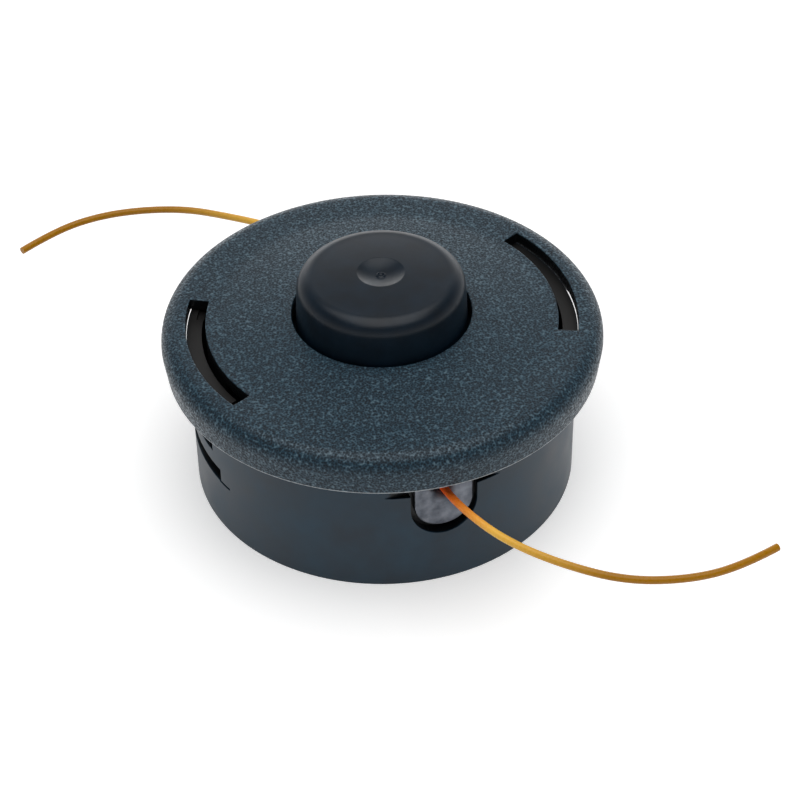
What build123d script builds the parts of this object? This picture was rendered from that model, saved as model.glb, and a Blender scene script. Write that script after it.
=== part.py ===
from build123d import *
import os
from math import cos, pi, radians, sin, tan

os.makedirs("parts", exist_ok=True)

# Bump-feed trimmer head, in millimetres. It stands on its mounting face, z = 0, with the knob up.
# The line leaves it at the front and back, -Y and +Y. The cap's latches are at the left and right.

# Clearances
seat_gap = 0.1  # between pieces that rest on each other
fit_gap = 0.05  # round a moulded-in piece and under the wound line
run_gap = 0.1  # radial, between the spool and its post
slide_gap = 0.2  # round an eyelet in its slot
moving_gap = 0.3  # between pieces that move past each other
cut_margin = 1.0  # how far a cut runs past the face it opens
round_step = 45  # degrees, the share of each flat in a rounded edge

# Housing
housing_radius = 61.3
housing_height = 53.2  # top of the wall, where the cap sits
wall = 2.6
base_ring = 4.0  # width of the ring that the head stands on
pocket_depth = 4.0  # pockets between the ribs of the mounting face
floor_thickness = 3.0
rib_count = 12
rib_width = 2.4
hub_radius = 17.0
post_radius = 20.0
post_height = 26.0
spring_boss_height = 3.0

# Threaded insert
thread_radius = 4.46  # core of an M10 x 1 thread
insert_flats = 15.0
insert_length = 20.0

# Cap
cap_thickness = 4.0
rim_gap = 5.2  # between the rim and the housing's wall
rim_thickness = 2.6
rim_depth = 13.4
rim_round = 5.6
crown_radius = 53.0  # inside this the top rises towards the knob
crown_rise = 2.0
slot_reach = 0.5  # the slots reach this far past the housing's wall
slot_width = 6.6
slot_span = 52.6  # degrees

# Latches: a hook of the cap catches under a lug of the housing, inside a window in its wall
hook_thickness = 2.4
hook_span = 26.0
barb_reach = 3.8
barb_face = 2.0
lug_gap = 1.3  # between the hook and the lug
lug_span = 43.0
ledge_step = 0.9  # the lug's ends are this much lower
ledge_span = 55.0  # degrees, a little more than a slot
window_bottom = 19.0
window_height = 5.0
window_span = 33.0
seam_height = 0.8  # mould seam that runs on from one end of each window
seam_depth = 0.8
seam_span = 5.4  # a sixth of it is inside the window
recess_bottom = 28.8
recess_height = 19.0
recess_depth = 2.4
recess_span = 25.0

# Eyelets and the flats of the wall around them
line_height = 36.9
flat_depth = 2.8  # from the outside of the wall
flat_bottom = 35.5
flat_width = 44.0
block_width = 27.0
block_depth = 7.7
seat_depth = 3.7
pocket_half_width = 10.5
pocket_bottom = 19.2
eyelet_half_width = 9.2
eyelet_bottom = 21.5
eyelet_flange = 2.6
neck_width = 12.0
neck_bottom = 28.0
back_flange = 1.4
back_lip = 2.0  # of the back flange round the neck
throat_radius = 3.2
mouth_radius = 6.4
mouth_depth = 2.4

# Spool and its knob
travel = 8.0
core_radius = 26.0
flange_clearance = 3.6  # to the latch hooks
flange_thickness = 2.0
chamber_height = 17.5
knob_radius = 27.2
knob_gap = 1.0  # between the knob and the cap
knob_rise = 16.2  # above the cap's edge
knob_round = 5.5
knob_roof = 5.0
dimple_radius = 7.4
dimple_floor = 3.6
dimple_depth = 1.5
winding_depth = 15.0

# Ratchet dogs, between spool and cap at rest and between spool and housing when pressed
dog_count = 6
dog_span = 10.0
dog_inner = 29.5
dog_outer = 36.0
dog_height = 3.6
dog_play = 0.6  # degrees, spool dog to cap dog at rest
feed_step = 20.0  # degrees that the spool can feed when pressed

# Spring, and the plate between it and the knob
wire = 2.2
spring_radius = 14.0
end_turns = 1.0
active_turns = 3.5
end_pitch = 2.35
chords = 12  # straight chords in each turn
plate_thickness = 1.2

# Nylon line: its free ends, as they lie in the photograph
line_diameter = 2.4
line_sides = 6
arc_share = 0.45  # how much of a run the arc at one of its ends may take
# Points of each route: to the side, out from the mouth of its eyelet, and up from the mouth's height
front_points = [
    (-1.5, -9.0, 0.0),
    (-0.7, -0.2, 0.0),
    (2.6, 13.0, 0.0),
    (9.6, 28.3, -0.1),
    (21.4, 42.2, -0.3),
    (36.2, 54.1, -0.6),
    (53.9, 59.3, -0.9),
    (70.2, 58.4, -1.2),
    (83.4, 54.2, -1.6),
]
rear_points = [
    (1.8, -8.2, 0.0),
    (0.2, 1.0, 0.0),
    (-4.6, 13.4, 0.0),
    (-13.9, 25.3, -0.1),
    (-25.3, 35.4, -0.3),
    (-38.4, 45.6, -0.5),
    (-53.7, 51.0, -0.8),
    (-69.3, 52.8, -1.1),
    (-84.7, 48.6, -1.4),
    (-97.8, 41.0, -1.8),
]

# Places worked out from the sizes above, from the base up
base_inner = housing_radius - base_ring
wall_inner = housing_radius - wall
floor_top = pocket_depth + floor_thickness
post_top = floor_top + post_height
window_top = window_bottom + window_height
cap_under = housing_height + seat_gap
cap_top = cap_under + cap_thickness
cap_radius = housing_radius + rim_gap + rim_thickness
cap_bore = knob_radius + knob_gap
slot_outer = housing_radius + slot_reach
slot_inner = slot_outer - slot_width
lug_inner = slot_inner + lug_gap
barb_top = window_top - moving_gap
eyelet_top = cap_under - moving_gap
flat_distance = housing_radius - flat_depth
block_inner = housing_radius - block_depth
seat_distance = housing_radius - seat_depth
eyelet_face = seat_distance + eyelet_flange
eyelet_back = block_inner - slide_gap - back_flange

front_route_points = [(side, -eyelet_face - out, line_height + up) for side, out, up in front_points]
rear_route_points = [(side, eyelet_face + out, line_height + up) for side, out, up in rear_points]

# The spool hangs from the cap, with its dogs just clear of the cap's underside
upper_flange_top = cap_under - moving_gap - dog_height
chamber_top = upper_flange_top - flange_thickness
lower_flange_top = chamber_top - chamber_height
lower_flange_bottom = lower_flange_top - flange_thickness
lower_dog_bottom = lower_flange_bottom - dog_height
housing_dog_top = lower_flange_bottom - travel - moving_gap
spool_bore = post_radius + run_gap
flange_radius = slot_inner - hook_thickness - flange_clearance
knob_top = cap_top + knob_rise
roof_under = knob_top - knob_roof
plate_bottom = roof_under - plate_thickness

# Angles of the dogs. The spool feeds counter-clockwise, so its dogs lie clockwise of the ones they meet.
cap_dog_angle = 0.0
spool_dog_angle = cap_dog_angle - dog_span - dog_play
housing_dog_angle = spool_dog_angle + dog_span + dog_play + feed_step


def ring_sector(inner, outer, span):
    """Piece of a flat ring between two radii, spanning some degrees about +X."""
    with BuildSketch() as sector:
        with BuildLine():
            outside = CenterArc((0, 0), outer, -span / 2, span)
            inside = CenterArc((0, 0), inner, -span / 2, span)
            Line(inside @ 0, outside @ 0)
            Line(inside @ 1, outside @ 1)
        make_face()
    return sector.sketch


def wedge(inner, outer, span):
    """The same with straight ends instead of arcs."""
    with BuildSketch() as piece:
        half = radians(span / 2)
        with BuildLine():
            Polyline(
                (inner * cos(half), -inner * sin(half)),
                (outer * cos(half), -outer * sin(half)),
                (outer * cos(half), outer * sin(half)),
                (inner * cos(half), inner * sin(half)),
                close=True,
            )
        make_face()
    return piece.sketch


def tongue(half_width, bottom, top):
    """Upright outline with straight sides and a half-round foot."""
    with BuildSketch() as outline:
        with BuildLine():
            foot = CenterArc((0, bottom + half_width), half_width, 180, 180)
            Polyline(foot @ 1, (half_width, top), (-half_width, top), foot @ 0)
        make_face()
    return outline.sketch


def rounded(radius, top, size):
    """Outer top edge of a turned profile, rounded off by flats around a quarter circle."""
    return [
        (radius - size + size * cos(radians(angle)), top - size + size * sin(radians(angle)))
        for angle in range(0, 91, round_step)
    ]


def upright(azimuth):
    """Plane through the axis, with its own x outwards at an azimuth and its own y up."""
    turn = radians(azimuth)
    return Plane((0, 0, 0), x_dir=(cos(turn), sin(turn), 0), z_dir=(sin(turn), -cos(turn), 0))


def corner_radii(points):
    """Largest arcs that a route's runs leave room for, with a little straight left between them."""
    route = [Vector(*point) for point in points]
    radii = []
    for before, corner, after in zip(route, route[1:], route[2:]):
        turn = (corner - before).get_angle(after - corner)
        shorter = min((corner - before).length, (after - corner).length)
        radii.append(arc_share * shorter / tan(radians(turn) / 2))
    return radii


# Cutter for an eyelet's seat: a pocket from outside, and a slot for the neck that is open at the top
with BuildPart() as eyelet_seat:
    with BuildSketch(Plane.XZ.offset(seat_distance)):
        add(tongue(pocket_half_width, pocket_bottom, housing_height + cut_margin))
    extrude(amount=housing_radius - seat_distance + cut_margin)
    with BuildSketch(Plane.XZ.offset(block_inner - cut_margin)):
        with Locations((0, neck_bottom - slide_gap)):
            Rectangle(neck_width + 2 * slide_gap, housing_height, align=(Align.CENTER, Align.MIN))
    extrude(amount=seat_distance - block_inner + 2 * cut_margin)

# Housing
with BuildPart() as housing:
    with BuildSketch(Plane.XZ):
        with BuildLine():
            Polyline(
                (0, 0),
                (housing_radius, 0),
                (housing_radius, housing_height),
                (wall_inner, housing_height),
                (wall_inner, floor_top),
                (post_radius, floor_top),
                (post_radius, post_top),
                (0, post_top),
                close=True,
            )
        make_face()
    revolve(axis=Axis.Z)
    # Pockets between the ribs of the mounting face
    with BuildSketch(Plane.XY):
        RegularPolygon(base_inner, rib_count)
        RegularPolygon(hub_radius, rib_count, mode=Mode.SUBTRACT)
        with PolarLocations(0, rib_count):
            Rectangle(base_inner, rib_width, align=(Align.MIN, Align.CENTER), mode=Mode.SUBTRACT)
    extrude(amount=pocket_depth, mode=Mode.SUBTRACT)
    # Room for the threaded insert, and the boss that centres the spring
    with BuildSketch(Plane.XY):
        RegularPolygon(insert_flats / 2 + fit_gap, 6, major_radius=False)
    extrude(amount=insert_length + fit_gap, mode=Mode.SUBTRACT)
    with BuildSketch(Plane.XY.offset(post_top)):
        RegularPolygon(spring_radius - wire / 2 - moving_gap, rib_count)
    extrude(amount=spring_boss_height)
    # Dogs that hold the spool while it is pressed
    with BuildSketch(Plane.XY.offset(floor_top)):
        with PolarLocations(0, dog_count, start_angle=housing_dog_angle):
            add(wedge(dog_inner, dog_outer, dog_span))
    extrude(amount=housing_dog_top - floor_top)
    # Latch lugs, with lower ends, over the windows
    with BuildSketch(Plane.XY.offset(window_top)):
        with PolarLocations(0, 2):
            add(ring_sector(lug_inner, wall_inner + wall / 2, lug_span))
    extrude(amount=housing_height - window_top)
    with BuildSketch(Plane.XY.offset(window_top)):
        with PolarLocations(0, 2):
            add(ring_sector(lug_inner, wall_inner + wall / 2, ledge_span))
    extrude(amount=housing_height - ledge_step - window_top)
    with BuildSketch(Plane.XY.offset(window_bottom)):
        with PolarLocations(0, 2):
            add(ring_sector(wall_inner - cut_margin, housing_radius + cut_margin, window_span))
    extrude(amount=window_height, mode=Mode.SUBTRACT)
    with BuildSketch(Plane.XY.offset(window_bottom - seam_height / 2)):
        with PolarLocations(0, 2, start_angle=window_span / 2 + seam_span / 3):
            add(ring_sector(housing_radius - seam_depth, housing_radius + cut_margin, seam_span))
    extrude(amount=seam_height, mode=Mode.SUBTRACT)
    with BuildSketch(Plane.XY.offset(recess_bottom)):
        with PolarLocations(0, 2):
            add(ring_sector(housing_radius - recess_depth, housing_radius + cut_margin, recess_span))
    extrude(amount=recess_height, mode=Mode.SUBTRACT)
    # Blocks behind the wall for the eyelets, and flats on the wall above them
    with BuildSketch(Plane.XY.offset(floor_top)):
        with PolarLocations(0, 2, start_angle=90):
            with Locations((block_inner, 0)):
                Rectangle(wall_inner + wall / 4 - block_inner, block_width, align=(Align.MIN, Align.CENTER))
    extrude(amount=housing_height - floor_top)
    with BuildSketch(Plane.XY.offset(flat_bottom)):
        with PolarLocations(0, 2, start_angle=90):
            with Locations((flat_distance, 0)):
                Rectangle(wall + cut_margin, flat_width, align=(Align.MIN, Align.CENTER))
    extrude(amount=housing_height - flat_bottom, mode=Mode.SUBTRACT)
    with PolarLocations(0, 2):
        add(eyelet_seat.part, mode=Mode.SUBTRACT)
housing.part.label = "housing"
export_step(housing.part, "parts/housing.step")

# Threaded insert: a hexagonal bush moulded into the post
with BuildPart() as threaded_insert:
    with BuildSketch(Plane.XY):
        RegularPolygon(insert_flats / 2, 6, major_radius=False)
        Circle(thread_radius, mode=Mode.SUBTRACT)
    extrude(amount=insert_length)
threaded_insert.part.label = "threaded_insert"
export_step(threaded_insert.part, "parts/threaded_insert.step")

# Eyelets: a flange in the wall's pocket, a neck in the slot, a back flange, and a flared hole
with BuildPart() as eyelet_front:
    with BuildSketch(Plane.XZ.offset(seat_distance)):
        add(tongue(eyelet_half_width, eyelet_bottom, eyelet_top))
    extrude(amount=eyelet_flange)
    with BuildSketch(Plane.XZ.offset(eyelet_back + back_flange)):
        with Locations((0, neck_bottom)):
            Rectangle(neck_width, eyelet_top - neck_bottom, align=(Align.CENTER, Align.MIN))
    extrude(amount=seat_distance - eyelet_back - back_flange)
    with BuildSketch(Plane.XZ.offset(eyelet_back)):
        with Locations((0, neck_bottom - back_lip)):
            Rectangle(
                neck_width + 2 * back_lip,
                eyelet_top - neck_bottom + back_lip,
                align=(Align.CENTER, Align.MIN),
            )
    extrude(amount=back_flange)
    with BuildSketch(Plane.XY.offset(line_height)):
        with BuildLine():
            Polyline(
                (0, -eyelet_face),
                (mouth_radius, -eyelet_face),
                (throat_radius, mouth_depth - eyelet_face),
                (throat_radius, -eyelet_back),
                (0, -eyelet_back),
                close=True,
            )
        make_face()
    revolve(axis=Axis((0, 0, line_height), (0, 1, 0)), mode=Mode.SUBTRACT)
eyelet_front.part.label = "eyelet_front"
export_step(eyelet_front.part, "parts/eyelet_front.step")

with BuildPart() as eyelet_rear:
    add(eyelet_front.part, rotation=(0, 0, 180))
eyelet_rear.part.label = "eyelet_rear"
export_step(eyelet_rear.part, "parts/eyelet_rear.step")

# Cap
with BuildPart() as cap:
    with BuildSketch(Plane.XZ):
        with BuildLine():
            Polyline(
                (cap_bore, cap_under),
                (housing_radius + rim_gap, cap_under),
                (housing_radius + rim_gap, cap_top - rim_depth),
                (cap_radius, cap_top - rim_depth),
                *rounded(cap_radius, cap_top, rim_round),
                (crown_radius, cap_top),
                (cap_bore, cap_top + crown_rise),
                close=True,
            )
        make_face()
    revolve(axis=Axis.Z)
    with BuildSketch(Plane.XY.offset(cap_under)):
        with PolarLocations(0, 2):
            add(ring_sector(slot_inner, slot_outer, slot_span))
    extrude(amount=cap_thickness, mode=Mode.SUBTRACT)
    # Hooks of the latches
    for side in (0, 180):
        with BuildSketch(upright(side - hook_span / 2)):
            with BuildLine():
                Polyline(
                    (slot_inner - hook_thickness, cap_under),
                    (slot_inner, cap_under),
                    (slot_inner, barb_top),
                    (slot_inner + barb_reach, barb_top),
                    (slot_inner + barb_reach, barb_top - barb_face),
                    (slot_inner, window_bottom),
                    (slot_inner - hook_thickness, window_bottom),
                    close=True,
                )
            make_face()
        revolve(axis=Axis.Z, revolution_arc=hook_span)
    # Dogs that hold the spool at rest
    with BuildSketch(Plane.XY.offset(cap_under - dog_height)):
        with PolarLocations(0, dog_count, start_angle=cap_dog_angle):
            add(wedge(dog_inner, dog_outer, dog_span))
    extrude(amount=dog_height)
cap.part.label = "cap"
export_step(cap.part, "parts/cap.step")

# Spool: a chamber for the line under the bump knob, bored to run on the post
with BuildPart() as spool:
    with BuildSketch(Plane.XZ):
        with BuildLine():
            Polyline(
                (0, knob_top - dimple_depth),
                (0, roof_under),
                (spool_bore, roof_under),
                (spool_bore, lower_flange_bottom),
                (flange_radius, lower_flange_bottom),
                (flange_radius, lower_flange_top),
                (core_radius, lower_flange_top),
                (core_radius, chamber_top),
                (flange_radius, chamber_top),
                (flange_radius, upper_flange_top),
                (knob_radius, upper_flange_top),
                *rounded(knob_radius, knob_top, knob_round),
                (dimple_radius, knob_top),
                (dimple_floor, knob_top - dimple_depth),
                close=True,
            )
        make_face()
    revolve(axis=Axis.Z)
    # Dogs on top of the upper flange and under the lower one
    with BuildSketch(Plane.XY.offset(upper_flange_top)):
        with PolarLocations(0, dog_count, start_angle=spool_dog_angle):
            add(wedge(dog_inner, dog_outer, dog_span))
    extrude(amount=dog_height)
    with BuildSketch(Plane.XY.offset(lower_dog_bottom)):
        with PolarLocations(0, dog_count, start_angle=spool_dog_angle):
            add(wedge(dog_inner, dog_outer, dog_span))
    extrude(amount=dog_height)
spool.part.label = "spool"
export_step(spool.part, "parts/spool.step")

# Wound line
with BuildPart() as line_winding:
    with BuildSketch(Plane.XY.offset(lower_flange_top + fit_gap)):
        Circle(core_radius + winding_depth)
        Circle(core_radius + fit_gap, mode=Mode.SUBTRACT)
    extrude(amount=chamber_height - 2 * fit_gap)
line_winding.part.label = "line_winding"
export_step(line_winding.part, "parts/line_winding.step")

# Plate under the knob's roof, which the spool turns on
with BuildPart() as spring_plate:
    with BuildSketch(Plane.XY.offset(plate_bottom)):
        Circle(spool_bore - moving_gap)
    extrude(amount=plate_thickness - fit_gap)
spring_plate.part.label = "spring_plate"
export_step(spring_plate.part, "parts/spring_plate.step")

# Compression spring between the post and the plate, closed at both ends and made of straight chords
spring_rise = plate_bottom - post_top - wire - 2 * seat_gap
active_rise = spring_rise - 2 * end_turns * end_pitch


def coil_point(turns):
    """Point on the spring's centre line, so many turns from its foot."""
    first = min(turns, end_turns)
    middle = min(max(turns - end_turns, 0), active_turns)
    last = max(turns - end_turns - active_turns, 0)
    rise = (first + last) * end_pitch + middle * active_rise / active_turns
    angle = 2 * pi * turns
    return (spring_radius * cos(angle), spring_radius * sin(angle), post_top + seat_gap + wire / 2 + rise)


with BuildPart() as spring:
    chord_count = round((2 * end_turns + active_turns) * chords)
    with BuildLine() as coil:
        Polyline([coil_point(step / chords) for step in range(chord_count + 1)])
    with BuildSketch(Plane(coil.line @ 0, z_dir=coil.line % 0)):
        RegularPolygon(wire / 2, 6)
    sweep(transition=Transition.RIGHT)
spring.part.label = "spring"
export_step(spring.part, "parts/spring.step")

# Free ends of the line, along straight runs and the arcs between them
with BuildPart() as line_end_front:
    with BuildLine() as front_route:
        FilletPolyline(*front_route_points, radius=corner_radii(front_route_points))
    with BuildSketch(Plane(front_route.line @ 0, z_dir=front_route.line % 0)):
        RegularPolygon(line_diameter / 2, line_sides)
    sweep()
line_end_front.part.label = "line_end_front"
export_step(line_end_front.part, "parts/line_end_front.step")

with BuildPart() as line_end_rear:
    with BuildLine() as rear_route:
        FilletPolyline(*rear_route_points, radius=corner_radii(rear_route_points))
    with BuildSketch(Plane(rear_route.line @ 0, z_dir=rear_route.line % 0)):
        RegularPolygon(line_diameter / 2, line_sides)
    sweep()
line_end_rear.part.label = "line_end_rear"
export_step(line_end_rear.part, "parts/line_end_rear.step")

section = line_sides * sin(2 * pi / line_sides) * line_diameter**2 / 8
for name, points, route, tube in (
    ("front", front_route_points, front_route.line, line_end_front.part),
    ("rear", rear_route_points, rear_route.line, line_end_rear.part),
):
    length = sum(edge.length for edge in route.edges())
    print(name, "line: length", round(length, 1), "radii", [round(r, 1) for r in corner_radii(points)])
    print(name, "line: volume", round(tube.volume, 1), "section times length", round(section * length, 1))
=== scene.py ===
import math

import bmesh
import bpy
import numpy as np
from mathutils import Matrix, Vector


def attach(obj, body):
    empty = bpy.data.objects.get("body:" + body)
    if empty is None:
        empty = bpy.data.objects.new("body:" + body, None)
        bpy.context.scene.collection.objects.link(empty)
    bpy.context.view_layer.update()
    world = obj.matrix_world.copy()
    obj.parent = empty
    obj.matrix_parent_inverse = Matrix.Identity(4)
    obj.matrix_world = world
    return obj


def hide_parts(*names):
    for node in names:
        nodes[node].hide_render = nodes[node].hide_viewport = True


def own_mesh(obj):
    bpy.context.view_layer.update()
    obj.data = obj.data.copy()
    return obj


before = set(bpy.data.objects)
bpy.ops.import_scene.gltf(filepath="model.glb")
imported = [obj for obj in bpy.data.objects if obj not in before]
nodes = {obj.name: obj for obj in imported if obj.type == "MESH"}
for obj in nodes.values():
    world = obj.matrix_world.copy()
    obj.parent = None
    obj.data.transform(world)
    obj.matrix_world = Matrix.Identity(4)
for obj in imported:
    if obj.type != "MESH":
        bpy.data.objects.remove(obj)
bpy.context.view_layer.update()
scene = bpy.context.scene
scene.view_settings.view_transform = "Standard"
mm = 0.001
weld = 1e-7  # metres, points closer than this are merged
tiny = 1e-9  # keeps a division away from zero
print("frame loaded:", len(nodes), "nodes")


# Mesh tools

def makePiece(name, verts, faces, material, sharp):
    # points in mm and faces as index lists, put into a mesh in metres; doubles merged, faces turned outwards
    mesh = bpy.data.meshes.new(name)
    mesh.from_pydata((np.asarray(verts) * mm).tolist(), [], [list(map(int, f)) for f in faces])
    bm = bmesh.new()
    bm.from_mesh(mesh)
    bmesh.ops.remove_doubles(bm, verts=bm.verts, dist=weld)
    bmesh.ops.dissolve_degenerate(bm, edges=bm.edges, dist=weld)
    bmesh.ops.recalc_face_normals(bm, faces=bm.faces)
    bm.to_mesh(mesh)
    bm.free()
    mesh.shade_smooth()
    mesh.set_sharp_from_angle(angle=math.radians(sharp))
    mesh.materials.append(material)
    piece = bpy.data.objects.new(name, mesh)
    scene.collection.objects.link(piece)
    return piece


def soften(piece, s):
    # small moulded round on every edge sharper than the angle
    bevel = piece.modifiers.new("mouldRound", "BEVEL")
    bevel.width = s["edge"] * mm
    bevel.segments = s["edgeRounds"]
    bevel.limit_method = "ANGLE"
    bevel.angle_limit = math.radians(s["edgeAngle"])
    bevel.harden_normals = True
    return piece


def arc(cx, cy, radius, first, last, count):
    # points on a circle: centre + radius (cos a, sin a), for angles from first to last in degrees
    a = np.radians(np.linspace(first, last, count))
    return np.stack([cx + radius * np.cos(a), cy + radius * np.sin(a)], -1)


def turned(profile, angles):
    # profile point (r, z) turned to angle a: (r cos a, r sin a, z), one row of points for each angle
    r, z = np.asarray(profile, float).T
    a = np.asarray(angles, float)[:, None]
    return np.stack([r * np.cos(a), r * np.sin(a), z + 0 * a], -1)


def gridFaces(rows, columns, closeRows, closeColumns):
    # quads between neighbouring points of a grid, where point (i, j) has the number i columns + j
    i = np.arange(rows if closeRows else rows - 1)[:, None]
    j = np.arange(columns if closeColumns else columns - 1)[None, :]
    row, nextRow, nextColumn = i * columns, (i + 1) % rows * columns, (j + 1) % columns
    corners = np.broadcast_arrays(row + j, nextRow + j, nextRow + nextColumn, row + nextColumn)
    return np.stack(corners, -1).reshape(-1, 4)


def closedTube(points):
    # rows of points round a section, joined by quads, with a flat face at each end
    rows, n = points.shape[:2]
    faces = gridFaces(rows, n, False, True).tolist()
    faces += [list(range(n)), list(range((rows - 1) * n, rows * n))[::-1]]
    return points.reshape(-1, 3), faces


def sectorBar(profile, middle, span, count):
    # closed profile carried along an arc about the axis, from middle - span/2 to middle + span/2
    return closedTube(turned(profile, np.radians(np.linspace(middle - span / 2, middle + span / 2, count))))


def dogRing(s, low, high, first):
    # equal dogs round the axis, each a rectangle carried along an arc
    bar = [(s["dogInner"], low), (s["dogOuter"], low), (s["dogOuter"], high), (s["dogInner"], high)]
    return [sectorBar(bar, first + k * 360 / s["dogs"], s["dogSpan"], s["dogSteps"]) for k in range(s["dogs"])]


def joined(parts):
    # several point and face lists as one
    verts, faces, start = [], [], 0
    for points, quads in parts:
        verts.append(np.asarray(points).reshape(-1, 3))
        faces += [[int(k) + start for k in f] for f in quads]
        start += len(verts[-1])
    return np.concatenate(verts), faces


# Materials

nylonIor = 1.53
noiseLow, noiseHigh = 0.3, 0.7  # most values of a noise lie between these
mixColour, multiply, length = {"data_type": "RGBA"}, {"operation": "MULTIPLY"}, {"operation": "LENGTH"}


def linear(code):
    # sRGB hex to linear: (v/12.92) below 0.04045, ((v+0.055)/1.055)^2.4 above
    v = np.array([int(code[k:k + 2], 16) for k in (1, 3, 5)]) / 255
    rgb = np.where(v <= 0.04045, v / 12.92, ((v + 0.055) / 1.055) ** 2.4)
    return (*rgb.tolist(), 1.0)


def perMetre(size):
    # texture scale that gives features of a size in mm: 1000 / size
    return 1000.0 / size


def node(tree, kind, settings=None, inputs=None, stops=()):
    # adds a node, sets its properties and its sockets, and links those given as another node's socket
    # stops are a ramp's places and colours
    made = tree.nodes.new("ShaderNode" + kind)
    for key, value in (settings or {}).items():
        setattr(made, key, value)
    for place, colour in stops[2:]:
        made.color_ramp.elements.new(place)
    for element, (place, colour) in zip(made.color_ramp.elements if stops else (), stops):
        element.position, element.color = place, colour
    for key, value in (inputs or {}).items():
        if isinstance(value, bpy.types.NodeSocket):
            tree.links.new(value, made.inputs[key])
        else:
            made.inputs[key].default_value = value
    return made


def newMaterial(name):
    # an empty tree of nodes, and the object coordinates that its patterns lie in
    material = bpy.data.materials.new(name)
    material.use_nodes = True
    tree = material.node_tree
    tree.nodes.clear()
    return material, tree, node(tree, "TexCoord").outputs["Object"]


grainedNylon = dict(
    pitShade="#06111A", peak="#243E4D", shaded="#213D4D", paintedGlint="#647C88", footHighlight="#D5DBDF", paintedShadeBlack="#02060A",
    grain=1.0, cell=0.7, detail=4.0, gain=0.7, depth=0.08, bump=0.8,
    pitHeight=0.1, peakHeight=0.34, paleStart=0.32, paleEnd=0.5, paleShare=0.7,  # heights in the pattern
    smooth=0.3, rough=0.7, specular=0.28,
    side=50.0, face=56.5, foot=44.3, footBand=0.4, inner=62.3, below=57.1)  # heights in mm, inner a radius


def grainedNylonMaterial(s):
    # black glass-filled nylon moulded in a spark-eroded tool: a real grain, drawn with its pits darkened as painted
    # shade and its peaks paled as painted glints, about twice as coarse as real ones so that they show
    # the side of the rim is painted a little darker than the top as painted shade, a thin painted highlight runs
    # along the rim's foot, and walls below the top inside the rim are painted near-black as painted shade
    material, tree, place = newMaterial("grainedNylon")
    coarse = node(tree, "TexNoise", inputs={
        "Vector": place, "Scale": perMetre(s["grain"]), "Detail": s["detail"], "Roughness": s["gain"]})
    pits = node(tree, "TexVoronoi", inputs={"Vector": place, "Scale": perMetre(s["cell"])})
    height = node(tree, "Math", multiply, {0: coarse.outputs[0], 1: pits.outputs["Distance"]})
    # pits take the dark pit colour as painted shade, and the highest peaks the pale colour as painted glints
    high = node(tree, "MapRange", inputs={
        "Value": height.outputs[0], "From Min": s["pitHeight"], "From Max": s["peakHeight"]})
    paintedGlintMask = node(tree, "MapRange", inputs={
        "Value": height.outputs[0], "From Min": s["paleStart"], "From Max": s["paleEnd"], "To Max": s["paleShare"]})
    split = node(tree, "SeparateXYZ", inputs={0: place})
    # the side of the rim takes the darker shaded colour: painted shade
    top = node(tree, "MapRange", inputs={
        "Value": split.outputs["Z"], "From Min": s["side"] * mm, "From Max": s["face"] * mm})
    peak = node(tree, "Mix", mixColour, {
        "Factor": top.outputs[0], "A": linear(s["shaded"]), "B": linear(s["peak"])})
    dull = node(tree, "Mix", mixColour, {
        "Factor": high.outputs[0], "A": linear(s["pitShade"]), "B": peak.outputs["Result"]})
    speck = node(tree, "Mix", mixColour, {
        "Factor": paintedGlintMask.outputs[0], "A": dull.outputs["Result"], "B": linear(s["paintedGlint"])})
    # a thin painted highlight along the rim's foot, patchy with the coarse noise
    foot = node(tree, "Math", {"operation": "COMPARE"}, {
        0: split.outputs["Z"], 1: s["foot"] * mm, 2: s["footBand"] * mm})
    paintedFootHighlight = node(tree, "Math", multiply, {0: foot.outputs[0], 1: coarse.outputs[0]})
    outside = node(tree, "Mix", mixColour, {
        "Factor": paintedFootHighlight.outputs[0], "A": speck.outputs["Result"], "B": linear(s["footHighlight"])})
    # inside the rim and below the top the colour is painted near-black: painted shade on the slot walls and under the
    # cap
    flat = node(tree, "VectorMath", multiply, {0: place, 1: (1, 1, 0)})
    radius = node(tree, "VectorMath", length, {0: flat.outputs[0]})
    within = node(tree, "Math", {"operation": "LESS_THAN"}, {0: radius.outputs["Value"], 1: s["inner"] * mm})
    below = node(tree, "Math", {"operation": "LESS_THAN"}, {0: split.outputs["Z"], 1: s["below"] * mm})
    paintedShadeMask = node(tree, "Math", multiply, {0: within.outputs[0], 1: below.outputs[0]})
    colour = node(tree, "Mix", mixColour, {
        "Factor": paintedShadeMask.outputs[0], "A": outside.outputs["Result"], "B": linear(s["paintedShadeBlack"])})
    rough = node(tree, "MapRange", inputs={"Value": high.outputs[0], "To Min": s["rough"], "To Max": s["smooth"]})
    bump = node(tree, "Bump", inputs={
        "Height": height.outputs[0], "Strength": s["bump"], "Distance": s["depth"] * mm})
    shader = node(tree, "BsdfPrincipled", inputs={
        "Base Color": colour.outputs["Result"], "Roughness": rough.outputs[0], "Normal": bump.outputs[0],
        "IOR": nylonIor, "Specular IOR Level": s["specular"]})
    node(tree, "OutputMaterial", inputs={"Surface": shader.outputs[0]})
    return material


satinNylon = dict(
    dark="#102533", light="#193546", ledgeDark="#12100F", paintedShadeBlack="#03080C",
    flow=14.0, flowDetail=4.0, grain=0.5, grainDetail=2.0, depth=0.02, bump=0.5,
    smooth=0.37, rough=0.48, specular=0.31,
    inner=60.6, outer=61.0, darkStart=50.0, ledge=51.0, darkShare=0.85)  # radii, then heights


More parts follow.
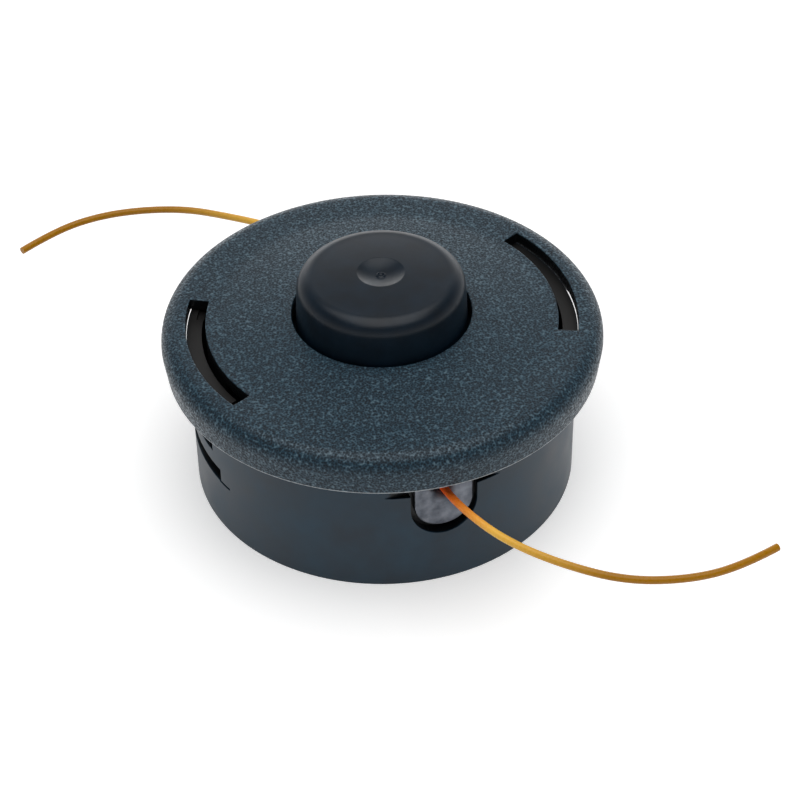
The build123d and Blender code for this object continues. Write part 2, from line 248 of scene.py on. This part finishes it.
def satinNylonMaterial(s):
    # the same nylon from a plain tool: satin, with faint flow marks, painted near-black inside the wall as painted
    # shade, and darker and brownish on the ledges under the cap
    material, tree, place = newMaterial("satinNylon")
    flow = node(tree, "TexNoise", inputs={
        "Vector": place, "Scale": perMetre(s["flow"]), "Detail": s["flowDetail"]})
    fine = node(tree, "TexNoise", inputs={
        "Vector": place, "Scale": perMetre(s["grain"]), "Detail": s["grainDetail"]})
    plain = node(tree, "ValToRGB", inputs={"Fac": flow.outputs[0]}, stops=[
        (noiseLow, linear(s["dark"])), (noiseHigh, linear(s["light"]))])
    flat = node(tree, "VectorMath", multiply, {0: place, 1: (1, 1, 0)})
    radius = node(tree, "VectorMath", length, {0: flat.outputs[0]})
    # inside the wall the colour is painted near-black: painted shade
    outside = node(tree, "MapRange", inputs={
        "Value": radius.outputs["Value"], "From Min": s["inner"] * mm, "From Max": s["outer"] * mm})
    paintedShadeInside = node(tree, "Mix", mixColour, {
        "Factor": outside.outputs[0], "A": linear(s["paintedShadeBlack"]), "B": plain.outputs["Color"]})
    split = node(tree, "SeparateXYZ", inputs={0: place})
    # darker and brownish towards the ledges under the cap
    high = node(tree, "MapRange", inputs={
        "Value": split.outputs["Z"], "From Min": s["darkStart"] * mm, "From Max": s["ledge"] * mm,
        "To Max": s["darkShare"]})
    colour = node(tree, "Mix", mixColour, {
        "Factor": high.outputs[0], "A": paintedShadeInside.outputs["Result"], "B": linear(s["ledgeDark"])})
    rough = node(tree, "MapRange", inputs={
        "Value": flow.outputs[0], "From Min": noiseLow, "From Max": noiseHigh,
        "To Min": s["smooth"], "To Max": s["rough"]})
    bump = node(tree, "Bump", inputs={
        "Height": fine.outputs[0], "Strength": s["bump"], "Distance": s["depth"] * mm})
    shader = node(tree, "BsdfPrincipled", inputs={
        "Base Color": colour.outputs["Result"], "Roughness": rough.outputs[0], "Normal": bump.outputs[0],
        "IOR": nylonIor, "Specular IOR Level": s["specular"]})
    node(tree, "OutputMaterial", inputs={"Surface": shader.outputs[0]})
    return material


knobNylon = dict(dark="#06121C", light="#0B1D2B", flow=9.0, scuff=1.6, detail=3.0, scuffLow=0.35,
                 smooth=0.34, rough=0.39, depth=0.005, bump=0.3, specular=0.28)


def knobNylonMaterial(s):
    # smooth black nylon with a soft gloss, a little scuffed
    material, tree, place = newMaterial("smoothNylon")
    flow = node(tree, "TexNoise", inputs={"Vector": place, "Scale": perMetre(s["flow"]), "Detail": s["detail"]})
    scuff = node(tree, "TexNoise", inputs={"Vector": place, "Scale": perMetre(s["scuff"]), "Detail": s["detail"]})
    colour = node(tree, "ValToRGB", inputs={"Fac": flow.outputs[0]}, stops=[
        (noiseLow, linear(s["dark"])), (noiseHigh, linear(s["light"]))])
    rough = node(tree, "MapRange", inputs={
        "Value": scuff.outputs[0], "From Min": s["scuffLow"], "From Max": noiseHigh,
        "To Min": s["smooth"], "To Max": s["rough"]})
    bump = node(tree, "Bump", inputs={
        "Height": scuff.outputs[0], "Strength": s["bump"], "Distance": s["depth"] * mm})
    shader = node(tree, "BsdfPrincipled", inputs={
        "Base Color": colour.outputs["Color"], "Roughness": rough.outputs[0], "Normal": bump.outputs[0],
        "IOR": nylonIor, "Specular IOR Level": s["specular"]})
    node(tree, "OutputMaterial", inputs={"Surface": shader.outputs[0]})
    return material


castZinc = dict(dark="#464A52", light="#767A82", cloud=4.0, cloudDetail=4.0, grain=0.35, grainDetail=2.0,
                smooth=0.34, rough=0.52, depth=0.02, bump=0.5)


def castZincMaterial(s):
    # die-cast zinc, tumbled: dull grey metal with a cloudy skin
    material, tree, place = newMaterial("dieCastZinc")
    cloud = node(tree, "TexNoise", inputs={
        "Vector": place, "Scale": perMetre(s["cloud"]), "Detail": s["cloudDetail"]})
    fine = node(tree, "TexNoise", inputs={
        "Vector": place, "Scale": perMetre(s["grain"]), "Detail": s["grainDetail"]})
    colour = node(tree, "ValToRGB", inputs={"Fac": cloud.outputs[0]}, stops=[
        (noiseLow, linear(s["dark"])), (noiseHigh, linear(s["light"]))])
    rough = node(tree, "MapRange", inputs={
        "Value": fine.outputs[0], "From Min": noiseLow, "From Max": noiseHigh,
        "To Min": s["smooth"], "To Max": s["rough"]})
    bump = node(tree, "Bump", inputs={
        "Height": fine.outputs[0], "Strength": s["bump"], "Distance": s["depth"] * mm})
    shader = node(tree, "BsdfPrincipled", inputs={
        "Base Color": colour.outputs["Color"], "Roughness": rough.outputs[0], "Normal": bump.outputs[0],
        "Metallic": 1.0})
    node(tree, "OutputMaterial", inputs={"Surface": shader.outputs[0]})
    return material


brightSteel = dict(dark="#8D8E8F", light="#B4B5B5", pitch=1.0, waveRate=20.0,  # radians per unit of a wave's scale
                   cloud=2.5, detail=3.0, roughness=0.3, depth=0.25, bump=0.6)


def brightSteelMaterial(s):
    # zinc-plated steel: bright, with turned rings a thread's pitch apart on upright walls
    material, tree, place = newMaterial("platedSteel")
    rings = node(tree, "TexWave", {"wave_type": "BANDS", "bands_direction": "Z"}, {
        "Vector": place, "Scale": perMetre(s["pitch"]) / s["waveRate"] * 2 * math.pi, "Distortion": 0.0})
    cloud = node(tree, "TexNoise", inputs={"Vector": place, "Scale": perMetre(s["cloud"]), "Detail": s["detail"]})
    colour = node(tree, "ValToRGB", inputs={"Fac": cloud.outputs[0]}, stops=[
        (noiseLow, linear(s["dark"])), (noiseHigh, linear(s["light"]))])
    bump = node(tree, "Bump", inputs={
        "Height": rings.outputs["Fac"], "Strength": s["bump"], "Distance": s["depth"] * mm})
    shader = node(tree, "BsdfPrincipled", inputs={
        "Base Color": colour.outputs["Color"], "Roughness": s["roughness"], "Normal": bump.outputs[0],
        "Metallic": 1.0})
    node(tree, "OutputMaterial", inputs={"Surface": shader.outputs[0]})
    return material


lineNylon = dict(near="#FF5A0A", middle="#FFC652", far="#AE7606", nearAt=0.05, middleAt=0.3, farAt=0.65,
                 start=68.0, end=150.0, streak=1.2, detail=3.0, smooth=0.2, rough=0.38, specular=0.25)


def lineNylonMaterial(s):
    # drawn nylon monofilament: orange that turns golden along its length as painted light, for the light seen through
    # the clear line; glossy, with faint draw marks
    material, tree, place = newMaterial("nylonMonofilament")
    reach = node(tree, "VectorMath", length, {0: place})
    along = node(tree, "MapRange", inputs={
        "Value": reach.outputs["Value"], "From Min": s["start"] * mm, "From Max": s["end"] * mm})
    # orange to golden along the length: painted light for the light seen through the clear line
    colour = node(tree, "ValToRGB", inputs={"Fac": along.outputs[0]}, stops=[
        (s["nearAt"], linear(s["near"])), (s["middleAt"], linear(s["middle"])), (s["farAt"], linear(s["far"]))])
    streak = node(tree, "TexNoise", inputs={"Vector": place, "Scale": perMetre(s["streak"]), "Detail": s["detail"]})
    rough = node(tree, "MapRange", inputs={
        "Value": streak.outputs[0], "From Min": noiseLow, "From Max": noiseHigh,
        "To Min": s["smooth"], "To Max": s["rough"]})
    shader = node(tree, "BsdfPrincipled", inputs={
        "Base Color": colour.outputs["Color"], "Roughness": rough.outputs[0],
        "IOR": nylonIor, "Specular IOR Level": s["specular"]})
    node(tree, "OutputMaterial", inputs={"Surface": shader.outputs[0]})
    return material


capNylon = grainedNylonMaterial(grainedNylon)
housingNylon = satinNylonMaterial(satinNylon)
spoolNylon = knobNylonMaterial(knobNylon)
zinc = castZincMaterial(castZinc)
steel = brightSteelMaterial(brightSteel)
monofilament = lineNylonMaterial(lineNylon)
print("materials made")


# Camera, as it stands in the photograph

camera = dict(target=(0, 0, 35), azimuth=-16.8, elevation=39.447, distance=700.0, roll=-1.313,
              focal=2193.8, image=800, aim=(383.06, 369.81), sensor=36.0, clip=0.01)  # focal and aim in pixels


def placeCamera(c):
    # stands at distance along (sin a cos e, -cos a cos e, sin e) from the target
    # the shift moves the target to its pixel
    a, e = math.radians(c["azimuth"]), math.radians(c["elevation"])
    back = Vector((math.sin(a) * math.cos(e), -math.cos(a) * math.cos(e), math.sin(e)))
    right = Vector((math.cos(a), math.sin(a), 0))
    up = back.cross(right)
    data = bpy.data.cameras.new("camera")
    made = bpy.data.objects.new("camera", data)
    turn = Matrix((right, up, back)).transposed().to_4x4() @ Matrix.Rotation(math.radians(c["roll"]), 4, "Z")
    made.matrix_world = Matrix.Translation((Vector(c["target"]) + back * c["distance"]) * mm) @ turn
    data.sensor_width = c["sensor"]
    data.lens = c["focal"] / c["image"] * data.sensor_width
    data.shift_x = (c["image"] / 2 - c["aim"][0]) / c["image"]
    data.shift_y = (c["aim"][1] - c["image"] / 2) / c["image"]
    data.clip_start = c["clip"]
    scene.collection.objects.link(made)
    scene.camera = made


placeCamera(camera)
print("camera placed")


# Free ends of the line

lineEnds = dict(
    diameter=2.4, mouth=60.2, height=36.9,  # mouth of each eyelet: distance from the axis, and height
    order=3, steps=10, roundness=5,
    front=[(-1.5, -9.0, 0.0), (-0.7, -0.2, 0.0), (2.6, 13.0, 0.0), (9.6, 28.1, -0.1), (21.4, 41.8, -0.3),
           (36.2, 53.5, -0.6), (53.9, 58.6, -0.9), (70.2, 58.1, -1.2), (83.4, 53.9, -1.6)],
    rear=[(1.8, -8.2, 0.0), (0.2, 1.0, 0.0), (-4.6, 13.4, 0.0), (-13.9, 25.3, -0.1), (-25.3, 34.9, -0.3),
          (-38.4, 44.6, -0.5), (-53.7, 49.9, -0.8), (-69.3, 51.5, -1.1), (-84.7, 48.2, -1.4), (-97.8, 41.0, -1.8)],
    frontLength=124.0, rearLength=131.5)


def layLine(name, points, way, s, replaced):
    # a round section along one smooth spline, whose control points lie to the side of, out from and above
    # the eyelet's mouth: (side, way (mouth + out), height + rise), with a weight of 1
    side, out, rise = np.array(points).T
    route = np.stack([side, way * (s["mouth"] + out), s["height"] + rise, np.ones_like(side) / mm], -1) * mm
    curve = bpy.data.curves.new(name, "CURVE")
    curve.dimensions = "3D"
    spline = curve.splines.new("NURBS")
    spline.points.add(len(route) - 1)
    spline.points.foreach_set("co", route.ravel())
    spline.use_endpoint_u = True
    spline.order_u = s["order"]
    spline.resolution_u = s["steps"]
    curve.bevel_depth = s["diameter"] / 2 * mm
    curve.bevel_resolution = s["roundness"]
    curve.use_fill_caps = True
    curve.materials.append(monofilament)
    piece = bpy.data.objects.new(name, curve)
    scene.collection.objects.link(piece)
    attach(piece, "housing")
    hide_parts(replaced)


layLine("lineFront", lineEnds["front"], -1, lineEnds, "line_end_front")
layLine("lineRear", lineEnds["rear"], 1, lineEnds, "line_end_rear")
print("line ends laid")


# Cap

cap = dict(
    bore=28.2, crownRadius=53.0, crownRise=2.0, crownSteps=14, under=53.3, top=57.3, round=5.6, roundSteps=12,
    radius=69.3, rimFoot=68.4, rimInner=66.5, rimBottom=43.9, footRound=0.9, footSteps=6,
    slotInner=55.2, slotOuter=61.35, slotSpan=52.6, slotSteps=40, wallSteps=96,
    hook=[(52.8, 53.6), (55.2, 53.6), (55.2, 23.7), (59.0, 23.7), (59.0, 21.7), (55.2, 19.0), (52.8, 19.0)],
    hookSpan=26.0, hookSteps=24,  # hooks and dogs start inside the cap
    dogInner=29.5, dogOuter=36.0, dogLow=49.7, dogHigh=53.6, dogSpan=10.0, dogs=6, dogSteps=6,
    sharp=40, edge=0.35, edgeRounds=3, edgeAngle=50)


def capShell(s):
    # turned section with a quarter-round edge and a crown of height top + crownRise (R - r) / (R - bore)
    # the cells over the slots are left out and walled down
    r = np.linspace(s["bore"], s["crownRadius"], s["crownSteps"])
    rise = (s["crownRadius"] - r) / (s["crownRadius"] - s["bore"])
    crown = np.stack([r, s["top"] + s["crownRise"] * rise], -1)
    over = np.array([(s["slotInner"], s["top"]), (s["slotOuter"], s["top"])])
    edge = arc(s["radius"] - s["round"], s["top"] - s["round"], s["round"], 90, 0, s["roundSteps"])
    foot = arc(s["rimFoot"] - s["footRound"], s["rimBottom"] + s["footRound"], s["footRound"], 0, -90, s["footSteps"])
    rim = np.array([(s["rimInner"], s["rimBottom"]), (s["rimInner"], s["under"])])
    under = np.array([(s["slotOuter"], s["under"]), (s["slotInner"], s["under"]), (s["bore"], s["under"])])
    section = np.concatenate([crown, over, edge, foot, rim, under])
    a, b = len(crown), len(crown) + 1  # slot edges in the top
    d, c = len(section) - 2, len(section) - 3  # the same in the underside
    half = s["slotSpan"] / 2
    stops = [-half, half, 180 - half, 180 + half, 360 - half]
    counts = (s["slotSteps"], s["wallSteps"]) * 2
    spans = [np.linspace(p, q, n, endpoint=False) for p, q, n in zip(stops, stops[1:], counts)]
    angles = np.radians(np.concatenate(spans))
    inSlot = np.concatenate([np.full(len(p), k % 2 == 0) for k, p in enumerate(spans)])
    rows, n = len(angles), len(section)
    faces = gridFaces(rows, n, True, True).reshape(rows, n, 4)
    keep = np.ones((rows, n), bool)
    keep[inSlot, a] = False
    keep[inSlot, c] = False
    j = np.flatnonzero(inSlot)
    k = (j + 1) % rows
    inner = np.stack([j * n + a, k * n + a, k * n + d, j * n + d], -1)
    outer = np.stack([j * n + b, k * n + b, k * n + c, j * n + c], -1)
    ends = np.flatnonzero(inSlot != np.roll(inSlot, 1))
    end = np.stack([ends * n + a, ends * n + b, ends * n + c, ends * n + d], -1)
    return turned(section, angles).reshape(-1, 3), np.concatenate([faces[keep], inner, outer, end]).tolist()


capParts = [capShell(cap)]
capParts += [sectorBar(cap["hook"], side, cap["hookSpan"], cap["hookSteps"]) for side in (0, 180)]
capParts += dogRing(cap, cap["dogLow"], cap["dogHigh"], 0)
capPiece = soften(makePiece("capMoulding", *joined(capParts), capNylon, cap["sharp"]), cap)
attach(capPiece, "housing")
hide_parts("cap")
print("cap made")


# Spool and knob

spool = dict(
    bore=20.1, roof=68.5, bottom=27.9, flange=49.2, lowerTop=29.9, core=26.0, chamberTop=47.4, upperTop=49.4,
    knob=27.3, knobDraft=1.0, knobTop=74.2, crown=0.9, crownSteps=8, round=5.2, roundEnd=88, roundSteps=12,
    dimple=7.4, dimpleDepth=1.6, dimpleGap=0.25, dimpleSteps=56, gate=1.1, gateHeight=0.45, gateWidth=0.32,
    dogInner=29.5, dogOuter=36.0, dogSpan=10.0, dogs=6, dogSteps=6, dogTurn=-10.6,
    dogLevels=[(49.1, 53.0), (24.3, 28.2)], around=160, sharp=30)  # the dogs start inside the flanges


def knobTopLine(s):
    # height over radius: crowned top, a shallow bowl in its middle, and a small ring left by the gate
    # top - crown (r/R)^2 - depth (1 - (r/dimple)^2) + gateHeight exp(-((r - gate)/gateWidth)^2)
    shoulder = s["knob"] - s["knobDraft"] - s["round"]
    r = np.concatenate([np.linspace(shoulder, s["dimple"] + s["dimpleGap"], s["crownSteps"]),
                        np.linspace(s["dimple"], 0, s["dimpleSteps"])])
    crown = s["knobTop"] - s["crown"] * (r / (s["knob"] - s["round"])) ** 2
    bowl = s["dimpleDepth"] * np.clip(1 - (r / s["dimple"]) ** 2, 0, 1)
    ring = s["gateHeight"] * np.exp(-((r - s["gate"]) / s["gateWidth"]) ** 2)
    return np.stack([r, crown - bowl + ring], -1)


def spoolSection(s):
    # half section of the spool, from the roof's underside round the flanges and up over the knob
    body = np.array([
        (0, s["roof"]), (s["bore"], s["roof"]), (s["bore"], s["bottom"]),
        (s["flange"], s["bottom"]), (s["flange"], s["lowerTop"]),
        (s["core"], s["lowerTop"]), (s["core"], s["chamberTop"]),
        (s["flange"], s["chamberTop"]), (s["flange"], s["upperTop"]), (s["knob"], s["upperTop"])])
    top = knobTopLine(s)
    edge = arc(s["knob"] - s["knobDraft"] - s["round"], top[0, 1] - s["round"], s["round"],
               0, s["roundEnd"], s["roundSteps"])
    return np.concatenate([body, edge, top])


section = spoolSection(spool)
turns = np.linspace(0, 2 * math.pi, spool["around"], endpoint=False)
spoolParts = [(turned(section, turns), gridFaces(len(turns), len(section), True, True))]
for low, high in spool["dogLevels"]:
    spoolParts += dogRing(spool, low, high, spool["dogTurn"])
spoolPiece = makePiece("spoolMoulding", *joined(spoolParts), spoolNylon, spool["sharp"])
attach(spoolPiece, "spool")
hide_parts("spool")
print("spool made")


# Eyelets

eyelet = dict(
    height=36.9, face=60.2, seat=57.6, neckEnd=53.4, back=52.0, throat=3.2, flare=3.5, flareSteps=12,
    lip=0.6, lipFlat=1.6, lipStart=80, lipSteps=6,  # the flat face ends 1.6 lips inside the edge
    halfWidth=9.2, foot=30.7, top=53.0, neckHalf=6.0, neckBottom=28.0, backHalf=8.0, backBottom=26.0,
    around=144, digits=6, sharp=35)


def boxReach(angles, half, bottom, top, s):
    # distance from the hole's centre to a rectangle's edge along angle a: the smaller of half/|cos a|
    # and (top - height)/sin a above the centre, or (height - bottom)/(-sin a) below it
    c, z = np.cos(angles), np.sin(angles)
    across = half / np.maximum(np.abs(c), tiny)
    upwards, downwards = (top - s["height"]) / np.maximum(z, tiny), (s["height"] - bottom) / np.maximum(-z, tiny)
    return np.minimum(across, np.where(z > 0, upwards, downwards))


def tongueReach(angles, s):
    # the same for the flange: straight sides and a half-round foot of radius w, its centre d below the hole's,
    # where the ray meets the foot's circle at -d sin a + sqrt((d sin a)^2 - d^2 + w^2)
    drop = s["height"] - s["foot"]
    z = np.sin(angles)
    circle = -drop * z + np.sqrt((drop * z) ** 2 - drop ** 2 + s["halfWidth"] ** 2)
    box = boxReach(angles, s["halfWidth"], 0, s["top"], s)
    low = s["height"] + box * z < s["foot"]
    return np.where(low, circle, box)


def eyeletMesh(s, way):
    # rings round the hole: throat, flared mouth, face, rounded lip, flange, neck and back flange,
    # each at its own depth
    ends = [(s["halfWidth"], s["top"]), (s["neckHalf"], s["top"]), (s["neckHalf"], s["neckBottom"]),
            (s["backHalf"], s["top"]), (s["backHalf"], s["backBottom"])]
    corners = [math.atan2(z - s["height"], x) for half, z in ends for x in (half, -half)]
    even = np.linspace(-math.pi, math.pi, s["around"], endpoint=False)
    angles = np.unique(np.round(np.concatenate([even, corners]), s["digits"]))
    flange = tongueReach(angles, s)
    neck = boxReach(angles, s["neckHalf"], s["neckBottom"], s["top"], s)
    back = boxReach(angles, s["backHalf"], s["backBottom"], s["top"], s)
    flat = np.ones_like(angles)
    flare = arc(s["throat"] + s["flare"], s["face"] - s["flare"], s["flare"], 180, 90, s["flareSteps"])
    lip = arc(0, s["face"] - s["lip"], s["lip"], s["lipStart"], 0, s["lipSteps"])
    rings = [(s["throat"] * flat, s["back"])] + [(r * flat, y) for r, y in flare]
    rings += [(flange - s["lip"] * s["lipFlat"], s["face"])] + [(flange - s["lip"] + x, y) for x, y in lip]
    rings += [(flange, s["seat"]), (neck, s["seat"]), (neck, s["neckEnd"]), (back, s["neckEnd"]), (back, s["back"])]
    reach = np.stack([r for r, y in rings])
    depth = np.array([y for r, y in rings])[:, None] + 0 * reach
    points = np.stack([reach * np.cos(angles), way * depth, s["height"] + reach * np.sin(angles)], -1)
    return points.reshape(-1, 3), gridFaces(len(rings), len(angles), True, True)


for name, way in (("eyeletFront", -1), ("eyeletRear", 1)):
    eyeletPiece = makePiece(name, *eyeletMesh(eyelet, way), zinc, eyelet["sharp"])
    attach(eyeletPiece, "housing")
    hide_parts("eyelet_front" if way < 0 else "eyelet_rear")
print("eyelets made")


# Spring

spring = dict(radius=14.0, wire=2.2, foot=33.1, rise=31.9, endPitch=2.35, endTurns=1.0, activeTurns=3.5, travel=8.0,
              steps=260, around=14, sharp=50)


def springTube(s):
    # helix (R cos a, R sin a, z(a)) with closed ends, and a round section in the plane of its radius and the axis
    turnsAt = np.linspace(0, 2 * s["endTurns"] + s["activeTurns"], s["steps"])
    closed = np.clip(turnsAt, 0, s["endTurns"]) + np.clip(turnsAt - s["endTurns"] - s["activeTurns"], 0, None)
    active = np.clip(turnsAt - s["endTurns"], 0, s["activeTurns"])
    activePitch = (s["rise"] - 2 * s["endTurns"] * s["endPitch"]) / s["activeTurns"]
    z = s["foot"] + s["wire"] / 2 + closed * s["endPitch"] + active * activePitch
    a = 2 * math.pi * turnsAt[:, None]
    around = np.linspace(0, 2 * math.pi, s["around"], endpoint=False)[None, :]
    r = s["radius"] + s["wire"] / 2 * np.cos(around)
    up = z[:, None] + s["wire"] / 2 * np.sin(around)
    return closedTube(np.stack(np.broadcast_arrays(r * np.cos(a), r * np.sin(a), up), -1))


springPiece = makePiece("springCoil", *springTube(spring), steel, spring["sharp"])
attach(springPiece, "housing")
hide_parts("spring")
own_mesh(springPiece)
print("spring made")


# Housing: the CAD mesh with small moulded rounds on its edges

housing = dict(
    edge=0.3, rounds=2, profile=0.5, sharp=50, weld=0.002, flat=0.5,
    plain=2.0,  # mm2, larger faces keep their own normals
    even=0.02, upright=0.998)  # a turned face: how far its radius may vary, and its least cosine to the way out


def meshArray(items, key, width=1, kind=float):
    # one property of every item in a mesh, in rows of the width
    values = np.empty(len(items) * width, kind)
    items.foreach_get(key, values)
    return values.reshape(-1, width) if width > 1 else values


def mouldedCopy(source, name, material, s):
    # merged copy of a CAD mesh with a small round on each sharp edge
    # large flat faces keep their own normals, and turned walls point straight out from the axis
    mesh = source.data.copy()
    mesh.name = name
    bm = bmesh.new()
    bm.from_mesh(mesh)
    bmesh.ops.remove_doubles(bm, verts=bm.verts, dist=s["weld"] * mm)
    bmesh.ops.dissolve_limit(bm, angle_limit=math.radians(s["flat"]), verts=bm.verts, edges=bm.edges)
    sharp = [e for e in bm.edges if e.calc_face_angle(0) > math.radians(s["sharp"])]
    bmesh.ops.bevel(bm, geom=sharp, offset=s["edge"] * mm, segments=s["rounds"], profile=s["profile"],
                    affect="EDGES", clamp_overlap=True)
    bm.to_mesh(mesh)
    bm.free()
    mesh.materials.clear()
    mesh.materials.append(material)
    mesh.shade_smooth()
    size, area = meshArray(mesh.polygons, "loop_total", kind=int), meshArray(mesh.polygons, "area")
    facing = np.repeat(meshArray(mesh.polygons, "normal", 3), size, 0)
    normals = meshArray(mesh.corner_normals, "vector", 3)
    points = meshArray(mesh.vertices, "co", 3)[meshArray(mesh.loops, "vertex_index", kind=int)]
    out = points * (1, 1, 0)
    radius = np.linalg.norm(out, axis=1)
    out /= np.maximum(radius, tiny)[:, None]
    start = np.cumsum(size) - size
    lean = (facing * out).sum(1)
    spread = np.maximum.reduceat(radius, start) - np.minimum.reduceat(radius, start)
    turnedFace = (spread < s["even"] * mm) & (np.minimum.reduceat(np.abs(lean), start) > s["upright"])
    turnedCorner, plainCorner = np.repeat(turnedFace, size), np.repeat(area > s["plain"] * mm * mm, size)
    normals[plainCorner] = facing[plainCorner]
    normals[turnedCorner] = (np.sign(lean)[:, None] * out)[turnedCorner]
    mesh.normals_split_custom_set(normals.tolist())
    piece = bpy.data.objects.new(name, mesh)
    scene.collection.objects.link(piece)
    return piece


housingPiece = mouldedCopy(nodes["housing"], "housingMoulding", housingNylon, housing)
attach(housingPiece, "housing")
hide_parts("housing")
print("housing made")


# CAD nodes that stay as they are

for name, material in (("threaded_insert", steel), ("spring_plate", steel), ("line_winding", monofilament)):
    nodes[name].data.materials.clear()
    nodes[name].data.materials.append(material)
print("CAD nodes given their materials")


# Floor and light

studio = dict(
    floor="#FFFFFF", half=6.0, glow=0.36, farGlow=0.7, farStart=0.6, farEnd=1.6,  # lengths here in metres
    horizon=3.2, middle=0.16, middleAt=0.6, zenith=0.15,  # brightness of the room, from low to high
    behind=(0.29, 0.96, 0.0), near=0.22, dimEnd=0.77, brightStart=0.97,
    lampPlace=(0.0, -0.1, 1.3), lampAim=(0.0, -0.1, 0), lampSize=1.5, lampPower=15.8)


def studioFloor(s):
    # matt white floor; the camera and reflections see it a little brighter, and the camera still more far off,
    # so that it is white outside the shadow
    h = s["half"]
    mesh = bpy.data.meshes.new("floor")
    mesh.from_pydata([(-h, -h, 0), (h, -h, 0), (h, h, 0), (-h, h, 0)], [], [(0, 1, 2, 3)])
    floor = bpy.data.objects.new("floor", mesh)
    scene.collection.objects.link(floor)
    material, tree, place = newMaterial("whiteFloor")
    path = node(tree, "LightPath")
    direct = node(tree, "Math", {"operation": "MAXIMUM"}, {
        0: path.outputs["Is Camera Ray"], 1: path.outputs["Is Glossy Ray"]})
    seen = node(tree, "Math", {"operation": "MAXIMUM"}, {
        0: direct.outputs[0], 1: path.outputs["Is Transmission Ray"]})
    reach = node(tree, "VectorMath", length, {0: place})
    far = node(tree, "MapRange", inputs={
        "Value": reach.outputs["Value"], "From Min": s["farStart"], "From Max": s["farEnd"], "To Max": s["farGlow"]})
    added = node(tree, "Math", multiply, {0: far.outputs[0], 1: path.outputs["Is Camera Ray"]})
    strength = node(tree, "Math", {"operation": "MULTIPLY_ADD"}, {
        0: seen.outputs[0], 1: s["glow"], 2: added.outputs[0]})
    matt = node(tree, "BsdfDiffuse", inputs={"Color": linear(s["floor"])})
    glow = node(tree, "Emission", inputs={"Strength": strength.outputs[0]})
    both = node(tree, "AddShader", inputs={0: matt.outputs[0], 1: glow.outputs[0]})
    node(tree, "OutputMaterial", inputs={"Surface": both.outputs[0]})
    mesh.materials.append(material)


def studioSky(s):
    # brightest low behind the object, darker overhead and on the camera's side of the room
    # the camera itself sees plain white
    world = bpy.data.worlds.new("studio")
    scene.world = world
    world.use_nodes = True
    tree = world.node_tree
    tree.nodes.clear()
    where = node(tree, "TexCoord").outputs["Generated"]
    split = node(tree, "SeparateXYZ", inputs={0: where})
    levels = ((0.0, s["horizon"]), (s["middleAt"], s["middle"]), (1.0, s["zenith"]))
    sky = node(tree, "ValToRGB", inputs={"Fac": split.outputs["Z"]}, stops=[
        (place, (level, level, level, 1)) for place, level in levels])
    flat = node(tree, "VectorMath", multiply, {0: where, 1: (1, 1, 0)})
    unit = node(tree, "VectorMath", {"operation": "NORMALIZE"}, {0: flat.outputs[0]})
    facing = node(tree, "VectorMath", {"operation": "DOT_PRODUCT"}, {0: unit.outputs[0], 1: s["behind"]})
    dim = node(tree, "MapRange", inputs={
        "Value": facing.outputs["Value"], "From Min": s["dimEnd"], "From Max": s["brightStart"],
        "To Min": s["near"], "To Max": 1.0})
    shaded = node(tree, "VectorMath", {"operation": "SCALE"}, {0: sky.outputs["Color"], "Scale": dim.outputs[0]})
    path = node(tree, "LightPath")
    mixed = node(tree, "Mix", mixColour, {
        "Factor": path.outputs["Is Camera Ray"], "A": shaded.outputs[0], "B": (1, 1, 1, 1)})
    ground = node(tree, "Background", inputs={"Color": mixed.outputs["Result"]})
    node(tree, "OutputWorld", inputs={"Surface": ground.outputs[0]})


def studioLamp(s):
    # square area lamp overhead, turned so that its -Z points at the aim
    lamp = bpy.data.lights.new("tentTop", "AREA")
    lamp.size = s["lampSize"]
    lamp.energy = s["lampPower"]
    made = bpy.data.objects.new("tentTop", lamp)
    way = Vector(s["lampAim"]) - Vector(s["lampPlace"])
    made.matrix_world = Matrix.Translation(s["lampPlace"]) @ way.to_track_quat("-Z", "Y").to_matrix().to_4x4()
    scene.collection.objects.link(made)


studioFloor(studio)
studioSky(studio)
studioLamp(studio)
print("studio lit")
